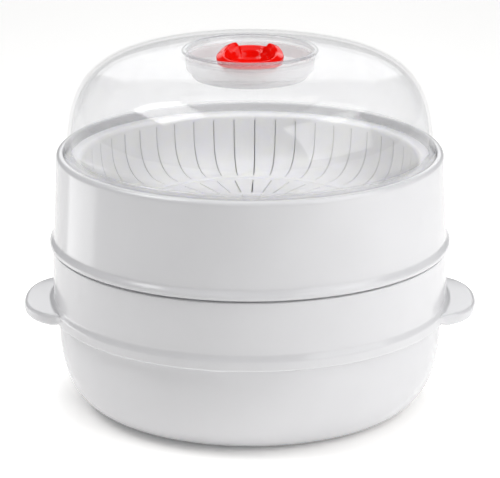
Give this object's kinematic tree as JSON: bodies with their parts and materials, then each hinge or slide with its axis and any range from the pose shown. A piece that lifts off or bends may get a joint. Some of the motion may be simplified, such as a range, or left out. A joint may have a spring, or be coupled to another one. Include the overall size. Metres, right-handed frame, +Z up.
{
  "type": "microwave egg cooker",
  "caption": "Round two-tier microwave egg cooker: handled water pot, egg rack, upper ring, slotted steam basket and clear domed lid with a red steam-vent knob.",
  "frame": {"origin": "centre of the base at table height, on the upright centre line", "axes": "+Z up along the centre line, +X and -X through the two handles, -Y towards the viewer"},
  "size_m": [0.268, 0.236, 0.212],
  "materials": {
    "white_plastic": "moulded polypropylene, glossy outside",
    "basket_plastic": "moulded polypropylene, satin, slightly warm white",
    "clear_plastic": "clear moulded plastic, polished, faint blue-grey in thick edges",
    "red_plastic": "glossy bright red",
    "silicone": "matte translucent silicone"
  },
  "bodies": {
    "pot": {"water_pot": "white_plastic"},
    "rack": {"egg_rack": "basket_plastic"},
    "ring": {"upper_ring": "white_plastic"},
    "basket": {"steam_basket": "basket_plastic"},
    "lid": {"lid_dome": "clear_plastic"},
    "knob": {"vent_knob": "red_plastic", "vent_seal": "silicone", "knob_retainer": "red_plastic"}
  },
  "joints": [
    {"name": "rack_lift", "type": "slide", "parent": "pot", "child": "rack", "axis": [0, 0, 1], "range_m": [0, 0.07]},
    {"name": "ring_lift", "type": "slide", "parent": "rack", "child": "ring", "axis": [0, 0, 1], "range_m": [0, 0.06]},
    {"name": "basket_lift", "type": "slide", "parent": "ring", "child": "basket", "axis": [0, 0, 1], "range_m": [0, 0.06]},
    {"name": "lid_lift", "type": "slide", "parent": "basket", "child": "lid", "axis": [0, 0, 1], "range_m": [0, 0.08]},
    {"name": "vent_turn", "type": "hinge", "parent": "lid", "child": "knob", "pos_m": [0, 0, 0.2], "axis": [0, 0, 1], "range_deg": [0, 90]}
  ]
}
